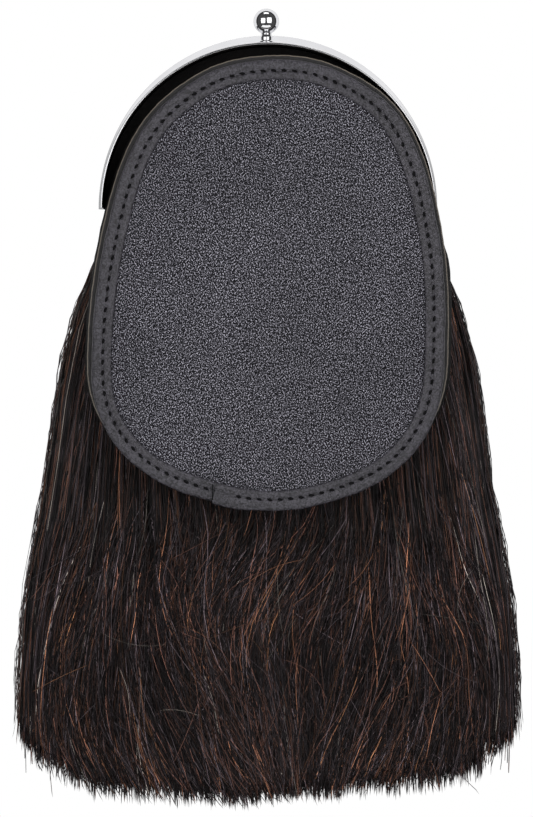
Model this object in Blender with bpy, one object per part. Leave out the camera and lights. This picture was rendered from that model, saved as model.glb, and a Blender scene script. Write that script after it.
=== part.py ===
# Horsehair sporran: a leather pouch with a metal cantle and a fall of long hair.
# Metres, +Z up. The back of the pouch faces -Y, and the hair hangs on its +Y side.
# The origin lies on the outer face of the back panel, at the height where a strap holds it.

import math
import random
from collections import namedtuple

import bmesh
import bpy

# Clearance between pieces that lie against each other
seat_gap = 0.0003

# Outline of the leather back, taken at the outer edge of its binding
panel_half_width = 0.0882
panel_widest_drop = 0.079
panel_rise = 0.154
panel_drop = 0.0738
outline_steps = 64

OutlineRow = namedtuple("OutlineRow", "turn_deg fullness")
outline_rows = [
    OutlineRow(0.0, 1.0),
    OutlineRow(22.5, 1.055),
    OutlineRow(45.0, 1.1),
    OutlineRow(67.5, 1.033),
    OutlineRow(90.0, 0.9915),
    OutlineRow(112.5, 1.01),
    OutlineRow(135.0, 1.045),
    OutlineRow(157.5, 1.01),
    OutlineRow(180.0, 1.001),
    OutlineRow(202.5, 1.02),
    OutlineRow(225.0, 1.015),
    OutlineRow(247.5, 0.982),
    OutlineRow(270.0, 0.989),
    OutlineRow(292.5, 0.995),
    OutlineRow(315.0, 1.02),
    OutlineRow(337.5, 1.013),
]

# Leather back panel and the strip folded round its edge
panel_thickness = 0.002
binding_wall = 0.001
binding_lip = 0.010
binding_round = 0.002
binding_arc_steps = 3

# Second leather layer, whose raw edge shows round the top and the sides
layer_thickness = 0.002
layer_reach = 0.0022
layer_bottom_reach = -0.0015
layer_shift_x = -0.0002
layer_shift_z = 0.0003

# Gusset: the side wall of the pouch, open at the top
gusset_wall = 0.0016
gusset_seam_reach = 0.0005
gusset_bulge = 0.0035
gusset_bottom_bulge = 0.0005
gusset_top = 0.040
gusset_steps_across = 6
gusset_steps_in_cantle = 5
gusset_steps_round = 38
foot_clearance = 0.002
foot_flare_ratio = 0.35

# Front panel of the pouch, leaning forward towards the bottom
front_thickness = 0.002
pouch_depth_top = 0.0145
pouch_lean_ratio = 0.044
front_bulge = 0.003
front_bulge_drop = 0.060
front_bulge_half_width = 0.076
front_bulge_half_height = 0.080
front_rim_reach = 0.0008
front_rings = 5

# Cantle: band, rolled rear lip and domed front plate
cantle_half_width = 0.0830
cantle_rise = 0.0817
cantle_wall = 0.0012
cantle_rear_clearance = 0.0009
lip_radius = 0.0006
rim_side_reach = 0.0026
rim_top_reach = 0.0060
cove_depth = 0.005
rim_thickness = 0.0012
plate_step = 0.001
plate_dome = 0.003
plate_edge_half_width = 0.074
plate_edge_rise = 0.034
cantle_steps = 44

# Ball and stepped neck on the band
ball_radius = 0.0064
ball_lift = 0.0106
ball_side_shift = -0.00085
neck_radius = 0.0026
collar_radius = 0.0032
collar_height = 0.0022
base_radius = 0.0039
base_height = 0.0007
knob_behind_lip = 0.0068
knob_sides = 24
ball_rings = 8

# Horsehair: locks fused to a head that lies under the front plate
hair_head_height = 0.008
hair_head_thickness = 0.0022
hair_exit_half_width = 0.080
hair_exit_drop = 0.003
hair_exit_inset = 0.004
hair_half_width = 0.1292
hair_length = 0.300
hair_corner_rise = 0.035
hair_thickness = 0.024
hair_edge_share = 0.32
lock_count = 20
lock_crown = 0.0022
lock_back_crown = 0.0012
lock_ragged = 0.004
lock_front_steps = 3
lock_back_steps = 2

FallRow = namedtuple("FallRow", "drop_share spread_share thickness_share tip_share")
fall_rows = [
    FallRow(0.00, 0.00, 0.09, 1.00),
    FallRow(0.04, 0.07, 0.28, 1.00),
    FallRow(0.10, 0.21, 0.58, 1.00),
    FallRow(0.18, 0.39, 0.76, 1.00),
    FallRow(0.27, 0.52, 0.90, 1.00),
    FallRow(0.39, 0.63, 0.98, 1.00),
    FallRow(0.52, 0.72, 1.00, 1.00),
    FallRow(0.64, 0.84, 0.96, 1.00),
    FallRow(0.76, 0.95, 0.87, 1.00),
    FallRow(0.87, 1.00, 0.73, 1.00),
    FallRow(0.93, 1.00, 0.60, 1.00),
    FallRow(0.97, 1.00, 0.42, 0.66),
    FallRow(1.00, 1.00, 0.16, 0.20),
]
joined_row_count = 11

# Places that follow from the sizes above
rim_half_width = cantle_half_width + rim_side_reach
rim_rise = cantle_rise + rim_top_reach
widest_z = -panel_widest_drop
binding_back_y = -seat_gap - binding_wall
binding_front_y = panel_thickness + seat_gap + binding_wall
layer_back_y = binding_front_y + seat_gap
layer_front_y = layer_back_y + layer_thickness
gusset_back_y = layer_front_y + seat_gap
cantle_rear_y = layer_front_y + cantle_rear_clearance
front_top_y = gusset_back_y + pouch_depth_top
head_back_y = front_top_y + pouch_lean_ratio * cantle_rise + front_thickness + seat_gap
plate_y = head_back_y + hair_head_thickness + seat_gap + cantle_wall
rim_rear_y = plate_y - plate_step - rim_thickness
pouch_bottom_z = widest_z - panel_drop


def leather(name, color, roughness):
    return finish(name, color, roughness, 0.0)


def finish(name, color, roughness, metallic):
    material = bpy.data.materials.new(name)
    material.use_nodes = True
    shader = material.node_tree.nodes["Principled BSDF"]
    shader.inputs["Base Color"].default_value = (*color, 1.0)
    shader.inputs["Roughness"].default_value = roughness
    shader.inputs["Metallic"].default_value = metallic
    return material


def add_object(name, mesh_data, material, assembly):
    bmesh.ops.recalc_face_normals(mesh_data, faces=mesh_data.faces)
    mesh = bpy.data.meshes.new(name)
    mesh_data.to_mesh(mesh)
    mesh_data.free()
    mesh.materials.append(material)
    mesh.shade_smooth()
    mesh.set_sharp_from_angle(angle=math.radians(35))
    piece = bpy.data.objects.new(name, mesh)
    bpy.context.scene.collection.objects.link(piece)
    piece.parent = assembly
    return piece


def fullness_at(turn_deg):
    """How far the outline reaches past a plain oval in one direction."""
    count = len(outline_rows)
    place = (turn_deg % 360.0) / (360.0 / count)
    row = int(place)
    f = place - row
    before, here, after, beyond = (
        outline_rows[(row + shift) % count].fullness for shift in (-1, 0, 1, 2)
    )
    return 0.5 * (
        2 * here
        + (after - before) * f
        + (2 * before - 5 * here + 4 * after - beyond) * f**2
        + (3 * here - before - 3 * after + beyond) * f**3
    )


def outline_point(turn_deg):
    turn = math.radians(turn_deg)
    full = fullness_at(turn_deg)
    height = panel_rise if math.sin(turn) >= 0 else panel_drop
    return (
        panel_half_width * full * math.cos(turn),
        widest_z + height * full * math.sin(turn),
    )


def reached_point(turn_deg, reach):
    """The outline moved outwards by reach; reach is a length or a function of the height."""
    x, z = outline_point(turn_deg)
    x1, z1 = outline_point(turn_deg - 0.5)
    x2, z2 = outline_point(turn_deg + 0.5)
    length = math.hypot(x2 - x1, z2 - z1)
    out = reach(z) if callable(reach) else reach
    return x + (z2 - z1) / length * out, z - (x2 - x1) / length * out


def blend(low, high, share):
    share = min(max(share, 0.0), 1.0)
    share = share * share * (3 - 2 * share)
    return low + (high - low) * share


def towards_bottom(z):
    """0 at the widest height of the pouch and above, 1 at its bottom."""
    return (widest_z - z) / (panel_drop * 0.7)


def layer_edge_reach(z):
    return blend(layer_reach, layer_bottom_reach, towards_bottom(z))


def keep_inside_cantle(x, z, clearance):
    """Pulls a point in where the band of the cantle, or the flare under its feet, is in the way."""
    half = cantle_half_width - clearance
    rise = cantle_rise - clearance
    if z <= 0:
        limit = half + max(0.0, -z - foot_clearance) * foot_flare_ratio
        return max(-limit, min(limit, x)), z
    far = math.hypot(x / half, z / rise)
    return (x, z) if far <= 1 else (x / far, z / far)


def front_inner_y(x, z):
    """Inner face of the front panel: a leaning plane with a soft bulge."""
    y = front_top_y + pouch_lean_ratio * (cantle_rise - max(z, pouch_bottom_z))
    far = (x / front_bulge_half_width) ** 2
    far += ((z + front_bulge_drop) / front_bulge_half_height) ** 2
    return y + front_bulge * max(0.0, 1 - far) ** 2


def add_plate(name, points, back_y, front_y, material, assembly):
    mesh_data = bmesh.new()
    corners = [mesh_data.verts.new((x, back_y, z)) for x, z in points]
    face = mesh_data.faces.new(corners)
    grown = bmesh.ops.extrude_face_region(mesh_data, geom=[face])["geom"]
    moved = [item for item in grown if isinstance(item, bmesh.types.BMVert)]
    bmesh.ops.translate(mesh_data, verts=moved, vec=(0, front_y - back_y, 0))
    return add_object(name, mesh_data, material, assembly)


def add_loft(name, rings, material, assembly, closed_run=False):
    """Joins rings of equally many points; the run is closed on itself or capped."""
    mesh_data = bmesh.new()
    rows = [[mesh_data.verts.new(point) for point in ring] for ring in rings]
    pairs = list(zip(rows, rows[1:]))
    if closed_run:
        pairs.append((rows[-1], rows[0]))
    else:
        mesh_data.faces.new(rows[0])
        mesh_data.faces.new(rows[-1])
    for row, following in pairs:
        for here, there, far, near in zip(
            row, row[1:] + row[:1], following[1:] + following[:1], following
        ):
            mesh_data.faces.new((here, there, far, near))
    return add_object(name, mesh_data, material, assembly)


def even_turns(count):
    return [360.0 * step / count for step in range(count)]


def make_back_panel(assembly, material):
    reach = -binding_wall - seat_gap
    points = [reached_point(turn, reach) for turn in even_turns(outline_steps)]
    return add_plate("back_panel", points, 0.0, panel_thickness, material, assembly)


def binding_section():
    """Closed section of the folded strip, as (reach, y), starting at the back lip's free edge."""
    outer = [(-binding_lip, binding_back_y + binding_wall * 0.4)]
    outer.append((-binding_lip + binding_wall, binding_back_y))
    corners = (
        (binding_back_y + binding_round, -90.0),
        (binding_front_y - binding_round, 0.0),
    )
    for centre_y, start in corners:
        for step in range(binding_arc_steps + 1):
            angle = math.radians(start + 90.0 * step / binding_arc_steps)
            outer.append(
                (
                    -binding_round + binding_round * math.cos(angle),
                    centre_y + binding_round * math.sin(angle),
                )
            )
    outer.append((-binding_lip + binding_wall, binding_front_y))
    outer.append((-binding_lip, binding_front_y - binding_wall * 0.4))
    inner = [
        (-binding_lip, panel_thickness + seat_gap),
        (-binding_wall, panel_thickness + seat_gap),
        (-binding_wall, -seat_gap),
        (-binding_lip, -seat_gap),
    ]
    return outer + inner


def make_binding(assembly, material):
    rings = []
    for turn in even_turns(outline_steps):
        ring = []
        for reach, y in binding_section():
            x, z = reached_point(turn, reach)
            ring.append((x, y, z))
        rings.append(ring)
    return add_loft("panel_binding", rings, material, assembly, closed_run=True)


def make_pouch_back(assembly, material):
    points = []
    for turn in even_turns(outline_steps):
        x, z = reached_point(turn, layer_edge_reach)
        points.append((x + layer_shift_x, z + layer_shift_z))
    return add_plate("pouch_back", points, layer_back_y, layer_front_y, material, assembly)


def turn_at_height(z, side):
    """Direction in which the outline comes down to a height; side is -1 for left, 1 for right."""
    turn = 90.0
    while outline_point(turn)[1] > z:
        turn -= side * 0.25
    return turn


def gusset_turns():
    """Directions round the sides and the bottom, with one at each foot of the cantle."""
    stops = [
        turn_at_height(gusset_top, -1),
        turn_at_height(-foot_clearance, -1),
        turn_at_height(-foot_clearance, 1) + 360.0,
        turn_at_height(gusset_top, 1) + 360.0,
    ]
    counts = (gusset_steps_in_cantle, gusset_steps_round, gusset_steps_in_cantle)
    turns = [stops[0]]
    for start, stop, count in zip(stops, stops[1:], counts):
        turns += [start + (stop - start) * (step + 1) / count for step in range(count)]
    return turns


def make_gusset(assembly, material):
    rings = []
    for turn in gusset_turns():
        seam_z = outline_point(turn)[1]
        bulge = blend(gusset_bulge, gusset_bottom_bulge, towards_bottom(seam_z))
        seam = blend(gusset_seam_reach, layer_bottom_reach - seat_gap, towards_bottom(seam_z))
        outer = []
        inner = []
        for step in range(gusset_steps_across + 1):
            share = step / gusset_steps_across
            swell = bulge * math.sin(math.pi * share)
            x, z = reached_point(turn, seam + swell)
            x, z = keep_inside_cantle(x, z, seat_gap)
            inner_x, inner_z = reached_point(turn, seam + swell - gusset_wall)
            inner_x, inner_z = keep_inside_cantle(inner_x, inner_z, seat_gap + gusset_wall)
            front_y = front_inner_y(x, z) - seat_gap
            y = gusset_back_y + (front_y - gusset_back_y) * share
            outer.append((x, y, z))
            inner.append((inner_x, y, inner_z))
        rings.append(outer + inner[::-1])
    return add_loft("gusset", rings, material, assembly)


def front_rim_point(turn):
    """Edge of the front panel, which fills the arch of the cantle above its feet."""
    def rim_reach(z):
        return blend(front_rim_reach, layer_bottom_reach, towards_bottom(z))

    x, z = reached_point(turn, rim_reach)
    if z <= 0:
        return keep_inside_cantle(x, z, seat_gap)
    far = math.hypot(x / (cantle_half_width - seat_gap), z / (cantle_rise - seat_gap))
    return x / far, z / far


def make_front_panel(assembly, material):
    """A soft dish: rings of shrinking size round the bulge, inner and outer face alike."""
    mesh_data = bmesh.new()
    turns = even_turns(outline_steps)
    faces_of_wall = []
    for thickness in (0.0, front_thickness):
        rings = []
        for ring in range(front_rings):
            share = 1 - ring / front_rings
            row = []
            for turn in turns:
                rim_x, rim_z = front_rim_point(turn)
                x = rim_x * share
                z = -front_bulge_drop + (rim_z + front_bulge_drop) * share
                y = front_inner_y(x, z) + thickness
                row.append(mesh_data.verts.new((x, y, z)))
            rings.append(row)
        for row, following in zip(rings, rings[1:]):
            bmesh.ops.bridge_loops(mesh_data, edges=loop_edges(mesh_data, row, following))
        mesh_data.faces.new(rings[-1])
        faces_of_wall.append(rings[0])
    bmesh.ops.bridge_loops(mesh_data, edges=loop_edges(mesh_data, *faces_of_wall))
    return add_object("front_panel", mesh_data, material, assembly)


def loop_edges(mesh_data, *loops):
    """Edges round each loop of vertices, made where they are missing."""
    edges = []
    for loop in loops:
        for here, there in zip(loop, loop[1:] + loop[:1]):
            edge = mesh_data.edges.get((here, there))
            edges.append(edge or mesh_data.edges.new((here, there)))
    return edges


Arch = namedtuple("Arch", "half_width rise y")


def band_arch(out, y):
    return Arch(cantle_half_width + out, cantle_rise + out, y)


def flare_arch(share, y):
    """Between the outer face of the band, share 0, and the rim of the front plate, share 1."""
    low = band_arch(cantle_wall, y)
    half_width = low.half_width + (rim_half_width - low.half_width) * share
    return Arch(half_width, low.rise + (rim_rise - low.rise) * share, y)


def plate_arch(share, behind):
    """On the domed plate, from its rim, share 0, to its lower edge, share 1."""
    half_width = rim_half_width + (plate_edge_half_width - rim_half_width) * share
    rise = rim_rise + (plate_edge_rise - rim_rise) * share
    return Arch(half_width, rise, plate_y + plate_dome * math.sin(math.pi * share) - behind)


def cantle_section():
    """Closed section of the cantle as a ring of arches, from the rear lip round the outside."""
    section = []
    for angle_deg in (0, 60, 120, 180):
        angle = math.radians(angle_deg)
        out = lip_radius * (1 - math.cos(angle))
        section.append(band_arch(out, cantle_rear_y + lip_radius * (1 - math.sin(angle))))
    section.append(band_arch(cantle_wall, cantle_rear_y + lip_radius * 2))
    cove_start_y = rim_rear_y - cove_depth
    for angle_deg in (0, 30, 60, 90):
        angle = math.radians(angle_deg)
        section.append(flare_arch(1 - math.cos(angle), cove_start_y + cove_depth * math.sin(angle)))
    section.append(flare_arch(1.0, rim_rear_y + rim_thickness))
    section.extend(plate_arch(share, 0.0) for share in (0.03, 0.15, 0.3, 0.5, 0.7, 0.88, 0.98))
    section.append(plate_arch(1.0, cantle_wall * 0.5))
    section.extend(plate_arch(share, cantle_wall) for share in (0.98, 0.88, 0.7, 0.5, 0.3, 0.15))
    section.append(band_arch(0.0, plate_y - cantle_wall))
    return section


def make_cantle(assembly, material):
    rings = []
    section = cantle_section()
    for step in range(cantle_steps + 1):
        turn = math.pi * step / cantle_steps
        rings.append(
            [
                (arch.half_width * math.cos(turn), arch.y, arch.rise * math.sin(turn))
                for arch in section
            ]
        )
    return add_loft("cantle", rings, material, assembly)


def knob_profile():
    """Turned profile as (radius, height above the seat), from the seat to the top of the ball."""
    shoulder = base_height + collar_height
    profile = [
        (0.0, 0.0),
        (base_radius, 0.0),
        (base_radius, base_height),
        (collar_radius, base_height * 1.6),
        (collar_radius, shoulder),
        (neck_radius, shoulder + (collar_radius - neck_radius)),
    ]
    start = math.asin(neck_radius / ball_radius)
    for ring in range(ball_rings + 1):
        angle = start + (math.pi - start) * ring / ball_rings
        radius = ball_radius * math.sin(angle) if ring < ball_rings else 0.0
        profile.append((radius, ball_lift - ball_radius * math.cos(angle)))
    return profile


def make_knob(assembly, material):
    mesh_data = bmesh.new()
    points = [mesh_data.verts.new((radius, 0.0, height)) for radius, height in knob_profile()]
    edges = [mesh_data.edges.new(pair) for pair in zip(points, points[1:])]
    bmesh.ops.spin(
        mesh_data,
        geom=points + edges,
        cent=(0, 0, 0),
        axis=(0, 0, 1),
        angle=math.tau,
        steps=knob_sides,
        use_merge=True,
    )
    bmesh.ops.remove_doubles(mesh_data, verts=mesh_data.verts, dist=0.00001)
    knob = add_object("ball_knob", mesh_data, material, assembly)
    seat_z = cantle_rise + cantle_wall + seat_gap
    knob.location = (ball_side_shift, cantle_rear_y + knob_behind_lip, seat_z)
    return knob


def tip_z(x):
    return -hair_length + hair_corner_rise * abs(x / hair_half_width) ** 4


def exit_z(x):
    """Where the hair comes out from under the front plate's lower edge."""
    half_width = plate_edge_half_width - hair_exit_inset
    rise = plate_edge_rise - hair_exit_inset / 2
    return -hair_exit_drop + rise * math.sqrt(max(0.0, 1 - (x / half_width) ** 2))


def hair_section(across, row, shorter):
    """Back and front of the hair at one place: across runs from -1 to 1, row is a FallRow."""
    start_x = across * hair_exit_half_width
    end_x = across * hair_half_width
    start_z = exit_z(start_x)
    x = start_x + (end_x - start_x) * row.spread_share
    z = start_z + (tip_z(end_x) + shorter - start_z) * row.drop_share
    back = front_inner_y(x, z) + front_thickness + seat_gap
    edge = hair_edge_share + (1 - hair_edge_share) * math.sqrt(1 - abs(across) ** 3)
    thickness = hair_head_thickness
    if row.drop_share > 0:
        thickness += (hair_thickness * row.thickness_share - hair_head_thickness) * edge
    return x, z, back, max(thickness, hair_head_thickness * 0.8)


def lock_point(lock, share, row, shorter, front):
    """One point on a lock: share runs from 0 to 1 across it, narrowing where it ends in a tip."""
    width_share = 0.5 + (share - 0.5) * row.tip_share
    across = -1 + 2 * (lock + width_share) / lock_count
    x, z, back, thickness = hair_section(across, row, shorter)
    swell = math.sin(math.pi * share)
    loose = min(1.0, row.drop_share / fall_rows[2].drop_share)
    if row.tip_share < 1:
        lost_share = fall_rows[joined_row_count - 1].thickness_share - row.thickness_share
        back += hair_thickness * lost_share / 3
    if front:
        return (x, back + thickness + (lock_crown * swell - lock_back_crown) * loose, z)
    return (x, back + lock_back_crown * (1 - swell) * loose, z)


def head_point(across, front):
    x, z, back, thickness = hair_section(across, fall_rows[0], 0.0)
    x, z = keep_inside_cantle(x, z + hair_head_height, seat_gap)
    back = front_inner_y(x, z) + front_thickness + seat_gap
    return (x, back + (thickness if front else 0.0), z)


def make_horsehair(assembly, material):
    """One closed body: a sheet of joined locks that part into separate tips at the bottom."""
    ragged = random.Random(4)
    mesh_data = bmesh.new()
    joined_rows = fall_rows[:joined_row_count]
    free_rows = fall_rows[joined_row_count:]
    shorter = [lock_ragged * ragged.random() for _ in range(lock_count)]

    def edge_shorter(place):
        left = shorter[max(0, min(lock_count - 1, math.ceil(place) - 1))]
        right = shorter[min(lock_count - 1, math.floor(place))]
        return (left + right) / 2

    def column(place, front):
        lock = min(lock_count - 1, int(place))
        share = place - lock
        drop = edge_shorter(place)
        top = mesh_data.verts.new(head_point(-1 + 2 * place / lock_count, front))
        points = [lock_point(lock, share, row, drop, front) for row in joined_rows]
        return [top] + [mesh_data.verts.new(point) for point in points]

    faces = {}
    for front, steps in ((True, lock_front_steps), (False, lock_back_steps)):
        faces[front] = [column(place / steps, front) for place in range(lock_count * steps + 1)]
        for left, right in zip(faces[front], faces[front][1:]):
            fill_strip(mesh_data, left, right)
    for side in (0, -1):
        fill_strip(mesh_data, faces[True][side], faces[False][side])
    for lock in range(lock_count):
        front = faces[True][lock * lock_front_steps : (lock + 1) * lock_front_steps + 1]
        back = faces[False][lock * lock_back_steps : (lock + 1) * lock_back_steps + 1]
        mesh_data.faces.new([line[0] for line in front] + [line[0] for line in back[::-1]])
        ring = [line[-1] for line in front] + [line[-1] for line in back[::-1]]
        for row in free_rows:
            shares = [(step / lock_front_steps, True) for step in range(lock_front_steps + 1)]
            shares += [(step / lock_back_steps, False) for step in range(lock_back_steps, -1, -1)]
            points = [lock_point(lock, share, row, shorter[lock], side) for share, side in shares]
            following = [mesh_data.verts.new(point) for point in points]
            fill_strip(mesh_data, ring + ring[:1], following + following[:1])
            ring = following
        mesh_data.faces.new(ring)
    return add_object("horsehair", mesh_data, material, assembly)


def fill_strip(mesh_data, left, right):
    for here, there, far, near in zip(left, left[1:], right[1:], right):
        mesh_data.faces.new((here, there, far, near))


def build():
    for old in list(bpy.data.objects):
        bpy.data.objects.remove(old)
    assembly = bpy.data.objects.new("sporran", None)
    bpy.context.scene.collection.objects.link(assembly)

    grained = leather("grained_leather", (0.065, 0.062, 0.070), 0.55)
    smooth = leather("smooth_leather", (0.070, 0.066, 0.073), 0.50)
    raw_edge = leather("raw_edge_leather", (0.24, 0.19, 0.14), 0.70)
    inner = leather("inner_leather", (0.030, 0.028, 0.028), 0.65)
    metal = finish("polished_metal", (0.83, 0.83, 0.85), 0.10, 1.0)
    hair = leather("horsehair", (0.025, 0.018, 0.015), 0.45)

    make_back_panel(assembly, grained)
    make_binding(assembly, smooth)
    make_pouch_back(assembly, raw_edge)
    make_gusset(assembly, inner)
    make_front_panel(assembly, inner)
    make_cantle(assembly, metal)
    make_knob(assembly, metal)
    make_horsehair(assembly, hair)


build()
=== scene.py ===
# A horsehair sporran seen from its leather back.
# Metres, +Z up. The back of the pouch faces -Y and the hair hangs on its +Y side.

import math

import bpy
import numpy as np
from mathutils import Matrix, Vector


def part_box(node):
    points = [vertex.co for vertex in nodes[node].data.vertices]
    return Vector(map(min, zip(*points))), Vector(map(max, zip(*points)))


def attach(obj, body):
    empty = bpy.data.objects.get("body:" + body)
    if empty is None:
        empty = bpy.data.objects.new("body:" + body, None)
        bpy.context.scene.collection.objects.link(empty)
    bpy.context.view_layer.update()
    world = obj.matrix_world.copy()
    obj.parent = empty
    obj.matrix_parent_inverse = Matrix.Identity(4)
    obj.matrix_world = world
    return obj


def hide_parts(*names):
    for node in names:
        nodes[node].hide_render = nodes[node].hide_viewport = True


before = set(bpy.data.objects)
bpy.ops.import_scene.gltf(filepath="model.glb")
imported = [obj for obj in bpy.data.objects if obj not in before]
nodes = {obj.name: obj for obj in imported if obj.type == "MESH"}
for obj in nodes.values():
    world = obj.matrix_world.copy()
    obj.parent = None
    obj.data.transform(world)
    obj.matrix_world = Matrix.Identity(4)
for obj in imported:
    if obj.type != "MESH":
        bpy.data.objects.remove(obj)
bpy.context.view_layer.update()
print("frame loaded:", ", ".join(sorted(nodes)))

# Sizes that the solids have too
leatherSizes = {
    "gap": 0.0003,
    "halfWidth": 0.0882,
    "widestZ": -0.079,
    "rise": 0.154,
    "drop": 0.0738,
    # share of the plain oval for every 22.5 degrees of turn, from the right side upwards
    "fullness": (
        *(1.0, 1.055, 1.1, 1.033, 0.9915, 1.01, 1.045, 1.01),
        *(1.001, 1.02, 1.015, 0.982, 0.989, 0.995, 1.02, 1.013),
    ),
    "frontThickness": 0.002,
    "frontTopY": 0.0204,
    "lean": 0.044,
    "bulge": 0.003,
    "bulgeZ": -0.060,
    "bulgeHalfWidth": 0.076,
    "bulgeHalfHeight": 0.080,
    "hairHead": 0.0022,
}
cantleSizes = {
    "halfWidth": 0.0830,
    "rise": 0.0817,
    "wall": 0.0012,
    "rearY": 0.0065,
    "lipRadius": 0.0006,
    "rimHalfWidth": 0.0856,
    "rimRise": 0.0877,
    "flareDepth": 0.0115,
    "rimThickness": 0.0012,
    "plateStep": 0.001,
    "plateDome": 0.003,
    "plateEdgeHalfWidth": 0.074,
    "plateEdgeRise": 0.034,
    "steps": 180,
}
leatherSizes["pouchBottomZ"] = leatherSizes["widestZ"] - leatherSizes["drop"]
headBackY = (
    leatherSizes["frontTopY"]
    + leatherSizes["lean"] * cantleSizes["rise"]
    + leatherSizes["frontThickness"]
    + leatherSizes["gap"]
)
plateY = headBackY + leatherSizes["hairHead"] + leatherSizes["gap"] + cantleSizes["wall"]


# Camera, straight on to the back
cameraLook = {"x": -0.00075, "z": -0.10075, "distance": 2.5, "seenHeight": 0.4085, "sensorMm": 36.0}


def placeCamera():
    look = cameraLook
    place = (look["x"], -look["distance"], look["z"])
    bpy.ops.object.camera_add(location=place, rotation=(math.pi / 2, 0, 0))
    camera = bpy.context.object
    camera.data.sensor_fit = "VERTICAL"
    camera.data.sensor_height = look["sensorMm"]
    camera.data.lens = look["sensorMm"] * look["distance"] / look["seenHeight"]
    camera.data.clip_end = 50.0
    bpy.context.scene.camera = camera


placeCamera()
print("camera placed")


# Plain helpers
def deselectAll():
    if bpy.context.object and bpy.context.object.mode != "OBJECT":
        bpy.ops.object.mode_set(mode="OBJECT")
    bpy.ops.object.select_all(action="DESELECT")


def pick(piece):
    deselectAll()
    piece.select_set(True)
    bpy.context.view_layer.objects.active = piece


def editAll():
    bpy.ops.object.mode_set(mode="EDIT")
    bpy.ops.mesh.select_all(action="SELECT")


def settle(piece, fillHoles=False):
    # merges the seam, closes what is open and turns all faces outwards
    pick(piece)
    editAll()
    bpy.ops.mesh.remove_doubles(threshold=0.000005)
    if fillHoles:
        bpy.ops.mesh.select_all(action="SELECT")
        bpy.ops.mesh.fill_holes(sides=0)
    bpy.ops.mesh.select_all(action="SELECT")
    bpy.ops.mesh.normals_make_consistent(inside=False)
    bpy.ops.object.mode_set(mode="OBJECT")


def wrapGrid(name, rings, fillHoles=False, smoothAngle=40):
    # a grid laid over rings of points: one row of the grid for each ring
    rings = np.asarray(rings, float)
    runs, across = rings.shape[:2]
    deselectAll()
    bpy.ops.mesh.primitive_grid_add(x_subdivisions=across - 1, y_subdivisions=runs - 1, size=1.0)
    piece = bpy.context.object
    piece.name = name
    piece.data.name = name
    flat = np.empty(len(piece.data.vertices) * 3)
    piece.data.vertices.foreach_get("co", flat)
    flat = flat.reshape(-1, 3)
    column = np.rint((flat[:, 0] + 0.5) * (across - 1)).astype(int)
    row = np.rint((flat[:, 1] + 0.5) * (runs - 1)).astype(int)
    piece.data.vertices.foreach_set("co", rings[row, column].ravel())
    settle(piece, fillHoles=fillHoles)
    bpy.ops.object.shade_smooth_by_angle(angle=math.radians(smoothAngle))
    return piece


def finishPiece(piece, material, slot, *replaced):
    piece.data.materials.clear()
    piece.data.materials.append(material)
    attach(piece, "root")
    if replaced:
        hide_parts(*replaced)
    print(piece.name, len(piece.data.polygons), "faces")


def smoothStep(low, high, value):
    share = np.clip((np.asarray(value, float) - low) / (high - low), 0.0, 1.0)
    return share * share * (3 - 2 * share)


# Outline of the leather, as the solids have it
def fullnessAt(turnDeg):
    rows = np.array(leatherSizes["fullness"])
    place = (np.asarray(turnDeg, float) % 360.0) / 22.5
    row = place.astype(int)
    f = place - row
    before, here, after, beyond = (rows[(row + shift) % 16] for shift in (-1, 0, 1, 2))
    return 0.5 * (
        2 * here
        + (after - before) * f
        + (2 * before - 5 * here + 4 * after - beyond) * f**2
        + (3 * here - before - 3 * after + beyond) * f**3
    )


def outlinePoint(turnDeg):
    turn = np.radians(turnDeg)
    full = fullnessAt(turnDeg)
    height = np.where(np.sin(turn) >= 0, leatherSizes["rise"], leatherSizes["drop"])
    return (
        leatherSizes["halfWidth"] * full * np.cos(turn),
        leatherSizes["widestZ"] + height * full * np.sin(turn),
    )


def reachedPoint(turnDeg, reach):
    turnDeg = np.asarray(turnDeg, float)
    x, z = outlinePoint(turnDeg)
    x1, z1 = outlinePoint(turnDeg - 0.5)
    x2, z2 = outlinePoint(turnDeg + 0.5)
    length = np.hypot(x2 - x1, z2 - z1)
    return x + (z2 - z1) / length * reach, z - (x2 - x1) / length * reach


def towardsBottom(z):
    return smoothStep(0.0, 1.0, (leatherSizes["widestZ"] - z) / (leatherSizes["drop"] * 0.7))


def frontInnerY(x, z):
    size = leatherSizes
    low = np.maximum(z, size["pouchBottomZ"])
    y = size["frontTopY"] + size["lean"] * (cantleSizes["rise"] - low)
    far = (x / size["bulgeHalfWidth"]) ** 2 + ((z - size["bulgeZ"]) / size["bulgeHalfHeight"]) ** 2
    return y + size["bulge"] * np.maximum(0.0, 1 - far) ** 2


def keepInsideCantle(x, z, clearance):
    half = cantleSizes["halfWidth"] - clearance
    rise = cantleSizes["rise"] - clearance
    limit = half + np.maximum(0.0, -z - 0.002) * 0.35
    far = np.maximum(1.0, np.hypot(x / half, z / rise))
    x, z = np.broadcast_arrays(x, z)
    return np.where(z <= 0, np.clip(x, -limit, limit), x / far), np.where(z <= 0, z, z / far)


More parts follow.
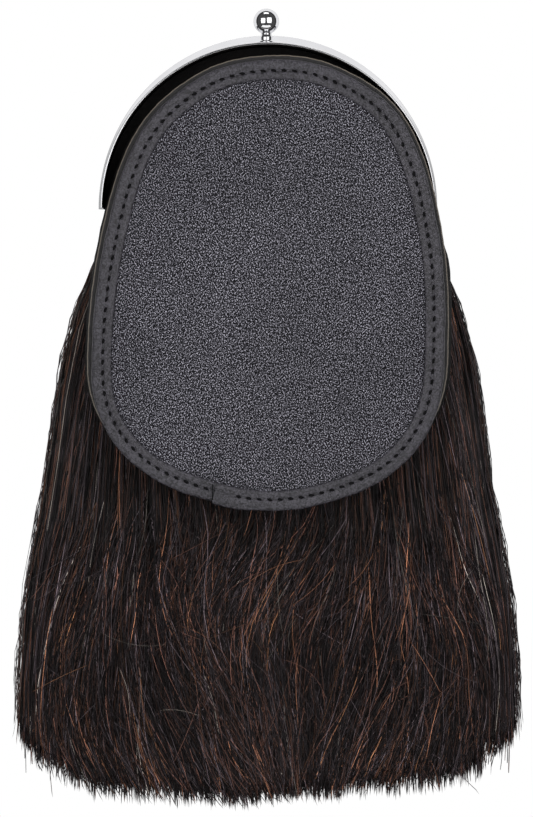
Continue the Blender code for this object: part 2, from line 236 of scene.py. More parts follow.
# Materials
class Nodes:
    def __init__(self, owner, shader="Principled BSDF"):
        owner.use_nodes = True
        self.owner = owner
        self.tree = owner.node_tree
        self.shader = self.tree.nodes[shader]

    def add(self, kind, inputs=None, **settings):
        node = self.tree.nodes.new(kind)
        for key, value in settings.items():
            setattr(node, key, value)
        for key, value in (inputs or {}).items():
            if isinstance(value, bpy.types.NodeSocket):
                self.tree.links.new(value, node.inputs[key])
            else:
                node.inputs[key].default_value = value
        return node

    def place(self, scale=(1, 1, 1), turn=(0, 0, 0)):
        where = self.add("ShaderNodeTexCoord").outputs["Object"]
        return self.add("ShaderNodeMapping", {"Vector": where, "Scale": scale, "Rotation": turn}).outputs[0]

    def noise(self, where, scale, detail=3.0, rough=0.55):
        inputs = {"Vector": where, "Scale": scale, "Detail": detail, "Roughness": rough}
        return self.add("ShaderNodeTexNoise", inputs).outputs["Fac"]

    def ramp(self, value, *stops):
        node = self.add("ShaderNodeValToRGB", {"Fac": value})
        points = node.color_ramp.elements
        while len(points) < len(stops):
            points.new(0.5)
        for point, (place, color) in zip(points, stops):
            point.position = place
            point.color = (*color, 1.0) if isinstance(color, tuple) else (color, color, color, 1.0)
        return node.outputs["Color"]

    def mix(self, share, low, high, blend="MIX"):
        node = self.add("ShaderNodeMix", data_type="RGBA", blend_type=blend)
        for index, value in ((0, share), (6, low), (7, high)):
            if isinstance(value, bpy.types.NodeSocket):
                self.tree.links.new(value, node.inputs[index])
            else:
                node.inputs[index].default_value = (*value, 1.0) if isinstance(value, tuple) else value
        return node.outputs[2]

    def math(self, operation, first, second):
        return self.add("ShaderNodeMath", {0: first, 1: second}, operation=operation).outputs[0]

    def times(self, color, tone):
        return self.mix(1.0, color, tone, "MULTIPLY")

    def blend(self, first, second, share):
        rest = self.math("MULTIPLY", second, 1 - share)
        return self.math("ADD", self.math("MULTIPLY", first, share), rest)

    def bump(self, height, distance, strength=1.0):
        inputs = {"Height": height, "Distance": distance, "Strength": strength}
        return self.add("ShaderNodeBump", inputs).outputs["Normal"]

    def set(self, **values):
        for name, value in values.items():
            socket = self.shader.inputs[name.replace("_", " ")]
            if isinstance(value, bpy.types.NodeSocket):
                self.tree.links.new(value, socket)
            else:
                socket.default_value = value
        return self.owner

    def finish(self, color, roughness, normal, specular=0.5):
        return self.set(Base_Color=color, Roughness=roughness, Normal=normal, Specular_IOR_Level=specular)


def newLook(name):
    return Nodes(bpy.data.materials.new(name))


grainLook = {
    "pebble": 1650.0,
    "speck": 2145.0,
    "stretch": (1.0, 1.0, 0.80),
    "pebbleTurn": (0, 0.6, 0),
    "speckTurn": (0, 2.3, 0),
    "pebbleShare": 0.65,
    "height": 0.0004,
    # colour from painted shade in the gaps between the pebbles up to painted glints on their tops
    "colors": (
        (0.43, (0.0002, 0.0002, 0.0004)),
        (0.495, (0.0045, 0.0043, 0.0060)),
        (0.535, (0.0300, 0.0290, 0.0355)),
        (0.60, (0.2300, 0.2240, 0.2580)),
    ),
}


def grainedLeather():
    look = newLook("grained leather")
    pebblePlace = look.place(grainLook["stretch"], grainLook["pebbleTurn"])
    pebbles = look.noise(pebblePlace, grainLook["pebble"], 1.5, 0.6)
    specks = look.noise(look.place(grainLook["stretch"], grainLook["speckTurn"]), grainLook["speck"], 1.0)
    height = look.blend(pebbles, specks, grainLook["pebbleShare"])
    tone = look.ramp(look.noise(look.place(), 16.0, 3.0), (0.3, 0.82), (0.7, 1.12))
    # the ramp paints shade into the pebble gaps and glints onto the pebble tops
    color = look.times(look.ramp(height, *grainLook["colors"]), tone)
    return look.finish(color, 0.5, look.bump(height, grainLook["height"]), 0.10)


def smoothLeather():
    look = newLook("smooth leather")
    where = look.place()
    pores = look.add("ShaderNodeTexVoronoi", {"Vector": where, "Scale": 1500.0})
    each = look.add("ShaderNodeSeparateColor", {"Color": pores.outputs["Color"]}).outputs["Green"]
    fine = look.noise(where, 1000.0, 4.0, 0.7)
    broad = look.noise(where, 30.0, 3.0)
    shade = look.blend(each, fine, 0.5)
    color = look.ramp(shade, (0.30, (0.0042, 0.0036, 0.0054)), (0.74, (0.0350, 0.0324, 0.0410)))
    color = look.times(color, look.ramp(broad, (0.3, 0.84), (0.7, 1.14)))
    height = look.math("ADD", look.math("MULTIPLY", pores.outputs["Distance"], 0.6), fine)
    roughness = look.ramp(fine, (0.2, 0.36), (0.8, 0.54))
    return look.finish(color, roughness, look.bump(height, 0.00024, 0.9), 0.62)


def rawEdgeLeather():
    # black faces, and a tan band where the UV map runs over the cut edge
    look = newLook("raw edge leather")
    where = look.place()
    onMap = look.add("ShaderNodeTexCoord").outputs["UV"]
    across = look.add("ShaderNodeSeparateXYZ", {"Vector": onMap}).outputs["X"]
    fibre = look.noise(look.place(scale=(1, 6, 1)), 1400.0, 4.0, 0.7)
    band = look.ramp(across, (0.30, 0.0), (0.34, 1.0), (0.70, 1.0), (0.74, 0.0))
    tan = look.ramp(fibre, (0.25, (0.030, 0.024, 0.019)), (0.75, (0.150, 0.128, 0.104)))
    black = look.ramp(look.noise(where, 700.0), (0.2, (0.004, 0.004, 0.0042)), (0.8, (0.013, 0.012, 0.0125)))
    return look.finish(look.mix(band, black, tan), 0.62, look.bump(fibre, 0.00015, 0.8))


def innerLeather():
    look = newLook("inner leather")
    where = look.place()
    nap = look.noise(where, 850.0, 4.0, 0.65)
    broad = look.noise(where, 35.0, 3.0)
    color = look.ramp(nap, (0.2, (0.0014, 0.0014, 0.0014)), (0.8, (0.0062, 0.0056, 0.0055)))
    color = look.times(color, look.ramp(broad, (0.3, 0.8), (0.7, 1.2)))
    return look.finish(color, 0.8, look.bump(nap, 0.0002, 0.8), 0.12)


def waxedThread():
    look = newLook("waxed thread")
    twist = look.noise(look.place(scale=(1, 1, 1), turn=(0, 0.7, 0)), 2400.0, 2.0)
    color = look.ramp(twist, (0.3, (0.0015, 0.0015, 0.0016)), (0.7, (0.005, 0.005, 0.0054)))
    return look.finish(color, 0.85, look.bump(twist, 0.0001, 0.6), 0.1)


def polishedMetal():
    look = newLook("polished metal")
    where = look.place()
    cloud = look.noise(where, 60.0, 4.0)
    rub = look.noise(look.place(scale=(1, 12, 1)), 300.0, 3.0)
    color = look.ramp(cloud, (0.3, (0.83, 0.83, 0.85)), (0.7, (0.90, 0.90, 0.915)))
    roughness = look.ramp(look.math("MULTIPLY", cloud, rub), (0.15, 0.05), (0.45, 0.13))
    look.set(Metallic=1.0)
    return look.finish(color, roughness, look.bump(rub, 0.00002, 0.25))


def strandHair():
    # each strand carries its own colour in its colour attribute, which on the flow strands also holds
    # painted glints and a painted sheen band
    look = newLook("horsehair strands")
    tintAndSheen = look.add("ShaderNodeVertexColor", layer_name="strandTintAndSheen").outputs["Color"]
    # lighter and darker stretches along the strands: painted sheen
    along = look.noise(look.place(scale=(1, 1, 0.12)), 420.0, 2.0)
    color = look.times(tintAndSheen, look.ramp(along, (0.25, 0.65), (0.75, 1.35)))
    return look.set(Base_Color=color, Roughness=0.34, Specular_IOR_Level=0.30)


def massHair():
    look = newLook("horsehair mass")
    streak = look.noise(look.place(scale=(1, 1, 0.02)), 1300.0, 4.0, 0.7)
    color = look.ramp(streak, (0.35, (0.001, 0.0008, 0.0007)), (0.75, (0.007, 0.0045, 0.0038)))
    return look.finish(color, 0.7, look.bump(streak, 0.0008), 0.2)


grained = grainedLeather()
smooth = smoothLeather()
rawEdge = rawEdgeLeather()
inner = innerLeather()
thread = waxedThread()
metal = polishedMetal()
strand = strandHair()
mass = massHair()
print("materials made")

# Back panel: the solid itself, with a pebbled finish
nodes["back_panel"].data.materials.clear()
nodes["back_panel"].data.materials.append(grained)

# Binding: a strip folded round the edge of the panel, with its stitches and its lap
bindingLook = {
    "backY": -0.0013,
    "stitchLine": 0.0056,
    "stitchPitch": 0.00525,
    "firstStitch": 0.0120,
    "dimple": 0.00035,
    "dimpleLength": 0.0010,
    "dimpleWidth": 0.0009,
    "lapX": -0.028,
    "lapRise": 0.0007,
    "lapGap": 0.00045,
    "lapDepth": 0.0003,
    "lapHeight": 0.0080,
    "lapLength": 0.028,
    "rings": 1050,
}


# Length along the seam for each direction, so that stitches stand evenly
def seamTable(startTurn):
    turns = startTurn + np.linspace(0.0, 360.0, 7201)
    x, z = reachedPoint(turns, -bindingLook["stitchLine"])
    length = np.concatenate([[0.0], np.cumsum(np.hypot(np.diff(x), np.diff(z)))])
    return turns, length


def lapTurn():
    turns = np.linspace(235.0, 269.0, 1000)
    x = outlinePoint(turns)[0]
    return turns[np.argmin(np.abs(x - bindingLook["lapX"]))]


seamTurns, seamLengths = seamTable(lapTurn())
seamTotal = seamLengths[-1]


def stitchPlaces():
    # the first stitches start past the lap, where the upper end covers the seam
    first = bindingLook["firstStitch"]
    count = int((seamTotal - first - 0.001) / bindingLook["stitchPitch"])
    return first + np.arange(count + 1) * bindingLook["stitchPitch"]


def lapLift(step):
    # how far the upper end of the strip stands out over the lower one
    return bindingLook["lapRise"] * (1 - smoothStep(0.3, 1.0, step / bindingLook["lapLength"]))


def bindingSection():
    # reach from the outline and y, from the inner edge of the back face round to the front and back inside
    back = bindingLook["backY"]
    backFace = [
        *((-0.0100, 0.00075), (-0.0099, 0.0003), (-0.0096, 0.00002), (-0.0090, -0.00013)),
        *((-0.0082, -0.00018), (-0.0072, -0.00012), (-0.0064, -0.00002), (-0.0060, 0.00022)),
        *((-0.0056, 0.00034), (-0.0052, 0.00022), (-0.0051, -0.00002), (-0.0046, -0.00014)),
        *((-0.0036, -0.00022), (-0.0026, -0.0002), (-0.0018, -0.0001)),
    ]
    section = [(reach, back + height) for reach, height in backFace]
    arc = np.radians(np.linspace(-90, 0, 9)[1:])
    section += [(-0.0013 + 0.0013 * math.cos(a), back + 0.0015 + 0.0015 * math.sin(a)) for a in arc]
    section += [(0.0, 0.0013), (-0.0006, 0.0027), (-0.0020, 0.0033), (-0.0060, 0.0033), (-0.0100, 0.0031)]
    section += [(-0.0100, 0.0023), (-0.0010, 0.0023), (-0.0010, -0.0003), (-0.0100, -0.0003), section[0]]
    return np.array(section)


def makeBinding():
    look = bindingLook
    section = bindingSection()
    steps = np.linspace(0.0, seamTotal + 0.0075, look["rings"])
    lengths = np.append(seamLengths, seamTotal * 2)
    turns = np.interp(steps, lengths, np.append(seamTurns, seamTurns[0] + 720.0))
    tucked = smoothStep(seamTotal - 0.006, seamTotal, steps)
    nearest = np.min(np.abs(steps[:, None] - stitchPlaces()[None, :]), axis=1)
    rings = []
    for step, turn, lift, tuck, near in zip(steps, turns, lapLift(steps), tucked, nearest):
        reach = section[:, 0].copy()
        y = section[:, 1].copy()
        facing = smoothStep(0.0006, -0.0008, y)
        besideSeam = (reach + look["stitchLine"]) / look["dimpleWidth"]
        pressed = look["dimple"] * np.exp(-((near / look["dimpleLength"]) ** 2)) * np.exp(-(besideSeam**2))
        wave = 0.00012 * math.sin(step * 190.0) + 0.00008 * math.sin(step * 447.0 + 1.0)
        outerShare = smoothStep(-0.0030, 0.0, reach)
        y = y + (pressed + wave * 0.5) * facing - lift * facing + tuck * 0.0004 * facing
        reach = reach + (wave + lift * 1.1 - tuck * 0.0003) * outerShare
        x, z = reachedPoint(turn, reach)
        rings.append(np.column_stack([x, y, z]))
    piece = wrapGrid("bindingStrip", rings, fillHoles=True, smoothAngle=50)
    finishPiece(piece, smooth, "smooth_leather", "panel_binding")


makeBinding()

# Stitches and the end of the strip
stitchLook = {"length": 0.0032, "thickness": 0.00145, "slantDeg": -20.0, "y": -0.00093}


def makeLapSeam():
    # the cut end of the binding shows as a dark line across it
    x, z = reachedPoint(lapTurn(), -0.0011)
    deselectAll()
    middle = (x, bindingLook["backY"] - 0.00005 - bindingLook["lapRise"], z + bindingLook["lapHeight"] / 2)
    bpy.ops.mesh.primitive_cube_add(size=1.0, location=middle)
    seam = bpy.context.object
    seam.name = "lapSeam"
    seam.scale = (bindingLook["lapGap"], bindingLook["lapDepth"], bindingLook["lapHeight"])
    bpy.ops.object.transform_apply(location=True, rotation=True, scale=True)
    finishPiece(seam, thread, "smooth_leather")


def makeStitches():
    # one stitch is turned from a sphere, flattened at its ends, and copied along the seam
    deselectAll()
    bpy.ops.mesh.primitive_uv_sphere_add(segments=10, ring_count=8, radius=0.5)
    model = bpy.context.object
    editAll()
    bpy.ops.transform.resize(value=(stitchLook["thickness"], stitchLook["thickness"], stitchLook["length"]))
    bpy.ops.object.mode_set(mode="OBJECT")
    places = stitchPlaces()
    turns = np.interp(places, seamLengths, seamTurns)
    copies = []
    shape = np.array([v.co[:] for v in model.data.vertices])
    side, along = shape[:, 0], shape[:, 2]
    bow = 0.00025 * (2 * along / stitchLook["length"]) ** 2
    for place, turn in zip(places, turns):
        x, z = reachedPoint(turn, -bindingLook["stitchLine"])
        x1, z1 = reachedPoint(turn + 0.2, -bindingLook["stitchLine"])
        lift = 0.8 * lapLift(place)
        angle = math.atan2(z1 - z, x1 - x) + math.radians(stitchLook["slantDeg"])
        points = np.column_stack(
            [
                x + along * math.cos(angle) - side * math.sin(angle),
                stitchLook["y"] - lift + shape[:, 1] + bow,
                z + along * math.sin(angle) + side * math.cos(angle),
            ]
        )
        copy = model.copy()
        copy.data = model.data.copy()
        copy.data.vertices.foreach_set("co", points.ravel())
        bpy.context.scene.collection.objects.link(copy)
        copies.append(copy)
    bpy.data.objects.remove(model)
    deselectAll()
    for copy in copies:
        copy.select_set(True)
    bpy.context.view_layer.objects.active = copies[0]
    bpy.ops.object.join()
    piece = bpy.context.object
    piece.name = "seamStitches"
    settle(piece)
    bpy.ops.object.shade_smooth()
    finishPiece(piece, thread, "smooth_leather")


makeLapSeam()
makeStitches()

# Second leather layer, with its raw edge
layerLook = {
    "reach": 0.0022,
    "bottomReach": -0.0015,
    "shiftX": -0.0002,
    "shiftZ": 0.0003,
    "backY": 0.0036,
    "frontY": 0.0056,
}


def makeLayer():
    # section from the back face round the cut edge to the front face
    back, front = layerLook["backY"], layerLook["frontY"]
    section = [(-0.0140, back), (-0.0040, back), (-0.0012, back), (-0.00062, back + 0.00003)]
    section += [(-0.00048, back + 0.00008), (-0.00016, back + 0.00045), (0.0, back + 0.00110)]
    section += [(-0.0001, front - 0.0003), (-0.0006, front), (-0.0040, front), (-0.0140, front)]
    section = np.array(section)
    turns = np.linspace(0, 360, 481)
    rings = []
    for turn in turns:
        z0 = float(outlinePoint(turn)[1])
        edge = layerLook["reach"] + (layerLook["bottomReach"] - layerLook["reach"]) * towardsBottom(z0)
        angle = math.radians(turn)
        ragged = 0.00006 * math.sin(angle * 61) + 0.00005 * math.sin(angle * 143 + 2)
        x, z = reachedPoint(turn, section[:, 0] + edge + ragged)
        rings.append(np.column_stack([x + layerLook["shiftX"], section[:, 1], z + layerLook["shiftZ"]]))
    piece = wrapGrid("layerWithRawEdge", rings, fillHoles=True)
    finishPiece(piece, rawEdge, "raw_edge_leather", "pouch_back")


makeLayer()

# Side wall of the pouch
gussetLook = {
    "wall": 0.0016,
    "seamReach": 0.0005,
    "bulge": 0.0035,
    "bottomBulge": 0.0005,
    "top": 0.040,
    "backY": 0.0059,
    "runs": 300,
    "across": 12,
}


def turnAtHeight(z, side):
    turn = 90.0
    while outlinePoint(turn)[1] > z:
        turn -= side * 0.25
    return turn


def makeGusset():
    look, gap = gussetLook, leatherSizes["gap"]
    start = turnAtHeight(look["top"], -1)
    stop = turnAtHeight(look["top"], 1) + 360.0
    share = np.linspace(0, 1, look["across"] + 1)
    belly = np.sin(math.pi * share)
    rings = []
    for turn in np.linspace(start, stop, look["runs"]):
        low = towardsBottom(float(outlinePoint(turn)[1]))
        swell = (look["bulge"] + (look["bottomBulge"] - look["bulge"]) * low) * belly
        crease = 0.0003 * math.sin(turn * 0.55) * belly
        crease = crease + 0.0002 * math.sin(turn * 1.7 + 1) * np.sin(2 * math.pi * share) ** 2
        seam = look["seamReach"] + (layerLook["bottomReach"] - gap - look["seamReach"]) * low
        reach = seam + swell - np.abs(crease)
        x, z = keepInsideCantle(*reachedPoint(turn, reach), gap)
        innerX, innerZ = keepInsideCantle(*reachedPoint(turn, reach - look["wall"]), gap + look["wall"])
        y = look["backY"] + (frontInnerY(x, z) - gap - look["backY"]) * share
        outerWall = np.column_stack([x, y, z])
        innerWall = np.column_stack([innerX, y, innerZ])
        rings.append(np.vstack([outerWall, innerWall[::-1], outerWall[:1]]))
    piece = wrapGrid("gussetWall", rings, fillHoles=True)
    finishPiece(piece, inner, "inner_leather", "gusset")


makeGusset()


def makeFront():
    # the leather that carries the hair, dished a little, filling the arch of the cantle
    turns = np.linspace(0, 360, 241)
    reach = 0.0008 + (layerLook["bottomReach"] - 0.0008) * towardsBottom(outlinePoint(turns)[1])
    x0, z0 = reachedPoint(turns, reach)
    gap, middleZ = leatherSizes["gap"], leatherSizes["bulgeZ"]
    far = np.hypot(x0 / (cantleSizes["halfWidth"] - gap), z0 / (cantleSizes["rise"] - gap))
    lowX, lowZ = keepInsideCantle(x0, z0, gap)
    rimX = np.where(z0 > 0, x0 / far, lowX)
    rimZ = np.where(z0 > 0, z0 / far, lowZ)
    shares = np.array([0.0, 0.15, 0.3, 0.45, 0.6, 0.72, 0.84, 0.92, 0.97, 0.995, 1.0])
    rings = []
    for x1, z1 in zip(rimX, rimZ):
        x = x1 * shares
        z = middleZ + (z1 - middleZ) * shares
        y = frontInnerY(x, z)
        rounding = 0.0003 * smoothStep(0.97, 1.0, shares)
        face = np.column_stack([x, y + rounding, z])
        outside = np.column_stack([x, y + leatherSizes["frontThickness"] - rounding, z])
        rings.append(np.vstack([face, outside[::-1]]))
    piece = wrapGrid("frontLeather", rings)
    finishPiece(piece, inner, "inner_leather", "front_panel")


makeFront()


def cantleSection():
    # closed run of (half width, rise, y), from the rear lip round the outside and back inside
    size = cantleSizes
    section = []
    for angle in np.radians(np.linspace(-40, 180, 12)):
        out = size["lipRadius"] * (1 - math.cos(angle))
        y = size["rearY"] + size["lipRadius"] * (1 - math.sin(angle))
        section.append((size["halfWidth"] + out, size["rise"] + out, y))
    low = (size["halfWidth"] + size["wall"], size["rise"] + size["wall"])
    for y in (size["rearY"] + 0.0018, size["rearY"] + 0.0030):
        section.append((*low, y))
    rimRearY = plateY - size["plateStep"] - size["rimThickness"]
    flareStartY = rimRearY - size["flareDepth"]
    for along in np.linspace(0.0, 1.0, 12):
        share = along ** 1.25
        half = low[0] + (size["rimHalfWidth"] - low[0]) * share
        rise = low[1] + (size["rimRise"] - low[1]) * share
        section.append((half, rise, flareStartY + size["flareDepth"] * along))
    section.append((size["rimHalfWidth"], size["rimRise"], rimRearY + 0.0007))
    section.append((size["rimHalfWidth"] - 0.0002, size["rimRise"] - 0.0003, rimRearY + 0.0011))

    def onPlate(share, behind):
        half = size["rimHalfWidth"] + (size["plateEdgeHalfWidth"] - size["rimHalfWidth"]) * share
        rise = size["rimRise"] + (size["plateEdgeRise"] - size["rimRise"]) * share
        return half, rise, plateY + size["plateDome"] * math.sin(math.pi * share) - behind

    section.append((size["rimHalfWidth"] - 0.0008, size["rimRise"] - 0.0012, rimRearY + 0.0013))
    rimSide = (0.03, 0.05, 0.08, 0.12, 0.18, 0.25, 0.33, 0.42)
    lowSide = (0.5, 0.58, 0.67, 0.75, 0.83, 0.9, 0.95, 0.985)
    section += [onPlate(share, 0.0) for share in rimSide + lowSide]
    section.append(onPlate(1.0, 0.0006))
    section += [onPlate(share, size["wall"]) for share in (0.985, 0.9, 0.75, 0.6, 0.45, 0.3, 0.15)]
    section.append((size["halfWidth"], size["rise"], plateY - size["wall"]))
    depth = plateY - size["wall"] - size["rearY"]
    for share in (0.75, 0.5, 0.25, 0.08):
        section.append((size["halfWidth"], size["rise"], size["rearY"] + 0.001 + depth * share))
    section.append(section[0])
    return np.array(section)


def makeCantle():
    half, rise, y = cantleSection().T
    turns = np.linspace(0, math.pi, cantleSizes["steps"] + 1)
    rings = [np.column_stack([half * math.cos(turn), y, rise * math.sin(turn)]) for turn in turns]
    piece = wrapGrid("cantleShell", rings, fillHoles=True, smoothAngle=35)
    finishPiece(piece, metal, "polished_metal", "cantle")


makeCantle()

# Ball knob on its column
knobLook = {
    "ballRadius": 0.0064,
    "ballHeight": 0.0106,
    "neck": 0.0026,
    "collar": 0.0032,
    "base": 0.0039,
    "sides": 64,
}


def knobProfile():
    # radius and height, from the foot ring up over the ball
    size = knobLook
    base, collar, neck = size["base"], size["collar"], size["neck"]
    profile = [(base - 0.0001, 0.0), (base, 0.0002), (base, 0.0005), (base - 0.0002, 0.0007)]
    profile += [(collar + 0.0001, 0.0009), (collar, 0.0012), (collar, 0.0026), (collar - 0.0001, 0.0029)]
    profile += [(neck + 0.0002, 0.0035), (neck, 0.0040), (neck, 0.0044)]
    ball = size["ballRadius"]
    for angle in np.linspace(math.asin((neck + 0.0001) / ball), math.pi, 26):
        profile.append((ball * math.sin(angle), size["ballHeight"] - ball * math.cos(angle)))
    return profile


def makeKnob():
    # half a profile is drawn from a single point by extruding, and spun about its axis
    deselectAll()
    bpy.ops.mesh.primitive_plane_add(size=0.001)
    piece = bpy.context.object
    piece.name = "knobTurned"
    editAll()
    bpy.ops.mesh.merge(type="CENTER")
    here = (0.0, 0.0)
    for radius, height in knobProfile():
        move = (radius - here[0], 0, height - here[1])
        bpy.ops.mesh.extrude_vertices_move(TRANSFORM_OT_translate={"value": move})
        here = (radius, height)
    bpy.ops.mesh.select_all(action="SELECT")
    bpy.ops.mesh.spin(steps=knobLook["sides"], angle=math.tau, center=(0, 0, 0), axis=(0, 0, 1))
    bpy.ops.mesh.select_all(action="SELECT")
    bpy.ops.mesh.remove_doubles(threshold=0.00001)
    bpy.ops.mesh.normals_make_consistent(inside=False)
    low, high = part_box("ball_knob")
    bpy.ops.transform.translate(value=((low.x + high.x) / 2, (low.y + high.y) / 2, low.z))
    bpy.ops.object.mode_set(mode="OBJECT")
    bpy.ops.object.shade_smooth_by_angle(angle=math.radians(50))
    finishPiece(piece, metal, "polished_metal", "ball_knob")


makeKnob()

# Horsehair: single strands over a dark inner body
hairLook = {
    "exitHalf": 0.080,
    "halfWidth": 0.1292,
    "length": 0.300,
    "cornerRise": 0.035,
    "thickness": 0.024,
    "headZ": -0.003,
    "headRise": 0.032,
    "headHalfWidth": 0.070,
    "edgeShare": 0.32,
    "drops": (0.0, 0.04, 0.10, 0.18, 0.27, 0.39, 0.52, 0.64, 0.76, 0.87, 0.93, 0.97, 1.0),
    "spreads": (0.0, 0.07, 0.21, 0.39, 0.52, 0.63, 0.72, 0.84, 0.95, 1.0, 1.0, 1.0, 1.0),
    "depths": (0.09, 0.28, 0.58, 0.76, 0.90, 0.98, 1.0, 0.96, 0.87, 0.73, 0.60, 0.42, 0.16),
    "leanPlaces": (-1.0, -0.85, -0.6, -0.35, -0.12, 0.1, 0.35, 0.6, 0.85, 1.0),
    "leans": (0.000, 0.002, 0.014, 0.024, 0.014, 0.002, -0.008, 0.006, -0.001, -0.001),
    "radii": (0.00017, 0.00029),
    "sideRadii": (0.00014, 0.00024),
    "edgeRadii": (0.00014, 0.00022),
    "strayRadii": (0.00009, 0.00015),
    # name, strands on each side, points, depths, starts, and 1 for the back or -1 for the front
    "layers": (
        ("hairBack", 2000, 7, (0.02, 0.18), (0.22, 0.34), 1),
        ("hairFront", 2500, 7, (0.84, 1.03), (-0.045, -0.02), -1),
    ),
    "locks": 90,
    "sideStrands": 700,
    "sideLocks": 60,
    "sidePlaces": (0.90, 0.955),
    "edgeStrands": 85,
    "edgePlaces": (0.935, 0.990),
    # strands, depth, lengths and spread in degrees of the hairs that lie across the others
    "strays": (
        (380, -0.085, (0.012, 0.040), 38),
        (45, -0.09, (0.05, 0.12), 7),
        (150, 1.06, (0.02, 0.07), 20),
    ),
    "clump": 0.0012,
    # place across the hair, and how far the cut is above its even line there
    "cut": (
        *((-1.0, -0.004), (-0.93, 0.0), (-0.86, -0.0025), (-0.78, -0.007)),
        *((-0.62, -0.0045), (-0.46, -0.0020), (-0.23, -0.0025), (0.0, 0.002)),
        *((0.24, 0.002), (0.48, 0.0015), (0.64, 0.0015), (0.72, 0.0005)),
        *((0.80, -0.0015), (0.87, 0.0025), (0.95, 0.002), (1.0, -0.004)),
    ),
    # share of the strands and their colour
    "tints": (
        (0.54, (0.0040, 0.0028, 0.0031)),
        (0.20, (0.0280, 0.0215, 0.0245)),
        (0.20, (0.0350, 0.0160, 0.0118)),
        (0.052, (0.0760, 0.0330, 0.0185)),
        (0.008, (0.1000, 0.0450, 0.0210)),
        (0.007, (0.0880, 0.0770, 0.0680)),
    ),
}


# Lean of the hair to the right on its way down, in degrees, by height and by place across
hairFlow = {
    "heights": (-0.1365, -0.1715, -0.2015, -0.2315, -0.2615, -0.2915),
    "places": (-0.119, -0.084, -0.049, -0.014, 0.021, 0.056, 0.091, 0.121),
    "leans": (
        (-20, -12, 0, 0, 0, 0, 17, 14),
        (-28, -10, -6, -26, -31, 0, 11, 26),
        (-16, -14, 17, -15, -24, -15, 20, 18),
        (-5, -7, 23, 19, 3, -14, -8, 4),
        (14, 4, 26, 20, -4, -27, -6, -12),
        (33, 35, 24, 31, -3, -25, -20, -25),
    ),
    "strands": 3200,
    "points": 10,
    "lengths": (0.045, 0.125),
    "depths": (-0.07, 0.05),
    "spreadDeg": 8.0,
    "wildShare": 0.05,
    "wildDeg": 28.0,
    "wanderDeg": 6.0,
    "steepestDeg": 62.0,
    # length of hair over which the strands at the sides follow the outline
    "keptOver": 0.31,
}


def flowLean(x, z):
    row = np.interp(-z, -np.array(hairFlow["heights"]), np.arange(len(hairFlow["heights"])))
    column = np.interp(x, hairFlow["places"], np.arange(len(hairFlow["places"])))
    i = np.minimum(row.astype(int), len(hairFlow["heights"]) - 2)
    j = np.minimum(column.astype(int), len(hairFlow["places"]) - 2)
    table = np.array(hairFlow["leans"], float)
    f, g = row - i, column - j
    above = table[i, j] * (1 - g) + table[i, j + 1] * g
    below = table[i + 1, j] * (1 - g) + table[i + 1, j + 1] * g
    return above * (1 - f) + below * f


def headLineZ(startX):
    # the head of the hair is an arch under the plate
    share = np.maximum(0.0, 1 - (startX / hairLook["headHalfWidth"]) ** 2)
    return hairLook["headZ"] + hairLook["headRise"] * np.sqrt(share)


def tipLineZ(across):
    places, rises = zip(*hairLook["cut"])
    unevenness = np.interp(across, places, rises)
    return -hairLook["length"] + hairLook["cornerRise"] * np.abs(across) ** 4 + unevenness


def hairWidth(drop):
    look = hairLook
    spread = np.interp(drop, look["drops"], look["spreads"])
    return look["exitHalf"] + (look["halfWidth"] - look["exitHalf"]) * spread


def hairSpot(x, z):
    # place across and drop of a point of the hair
    across = x / hairLook["halfWidth"]
    for again in range(4):
        startZ = headLineZ(across * hairLook["exitHalf"])
        drop = np.clip((z - startZ) / (tipLineZ(across) - startZ), 0.0, 1.03)
        across = np.clip(x / hairWidth(drop), -1.0, 1.0)
    return across, drop


def hairPlace(across, drop, depth, shorter):
    # across from -1 to 1, drop from 0 at the head to 1 at the tips, depth 0 at the back and 1 in front
    look = hairLook
    startZ = headLineZ(across * look["exitHalf"])
    tipZ = tipLineZ(across) + shorter
    x = across * hairWidth(drop)
    z = startZ + (tipZ - startZ) * drop
    crown = np.sqrt(np.maximum(0.0, 1 - np.minimum(1.0, np.abs(across)) ** 3))
    edge = look["edgeShare"] + (1 - look["edgeShare"]) * crown
    thick = np.interp(drop, look["drops"], look["depths"]) * look["thickness"]
    thick = leatherSizes["hairHead"] * 0.8 + np.maximum(0.0, thick - leatherSizes["hairHead"]) * edge
    y = frontInnerY(x, z) + leatherSizes["frontThickness"] + leatherSizes["gap"] + depth * thick
    return x, y, z


def makeMass():
    # a dark inner body that the strands lie on
    acrossSteps = np.linspace(-0.90, 0.90, 61)
    drops = (0.0, 0.03, 0.07, 0.12, 0.18, 0.25, 0.33, 0.42, 0.52, 0.62, 0.72, 0.81, 0.88, 0.93, 0.955)
    rings = []
    random = np.random.default_rng(11)
    short = random.uniform(0.002, 0.008, len(acrossSteps))
    for drop in drops:
        squeeze = 0.12 + 0.10 * smoothStep(0.8, 0.95, drop)
        backX, backY, backZ = hairPlace(acrossSteps, drop, squeeze, short)
        frontSqueeze = 0.14 + 0.42 * smoothStep(0.55, 0.90, drop)
        frontX, frontY, frontZ = hairPlace(acrossSteps[::-1], drop, 1 - frontSqueeze, short[::-1])
        back = np.column_stack([backX, backY, backZ])
        front = np.column_stack([frontX, frontY, frontZ])
        rings.append(np.vstack([back, front, back[:1]]))
    piece = wrapGrid("hairMass", rings, fillHoles=True, smoothAngle=60)
    finishPiece(piece, mass, "horsehair", "horsehair")


makeMass()


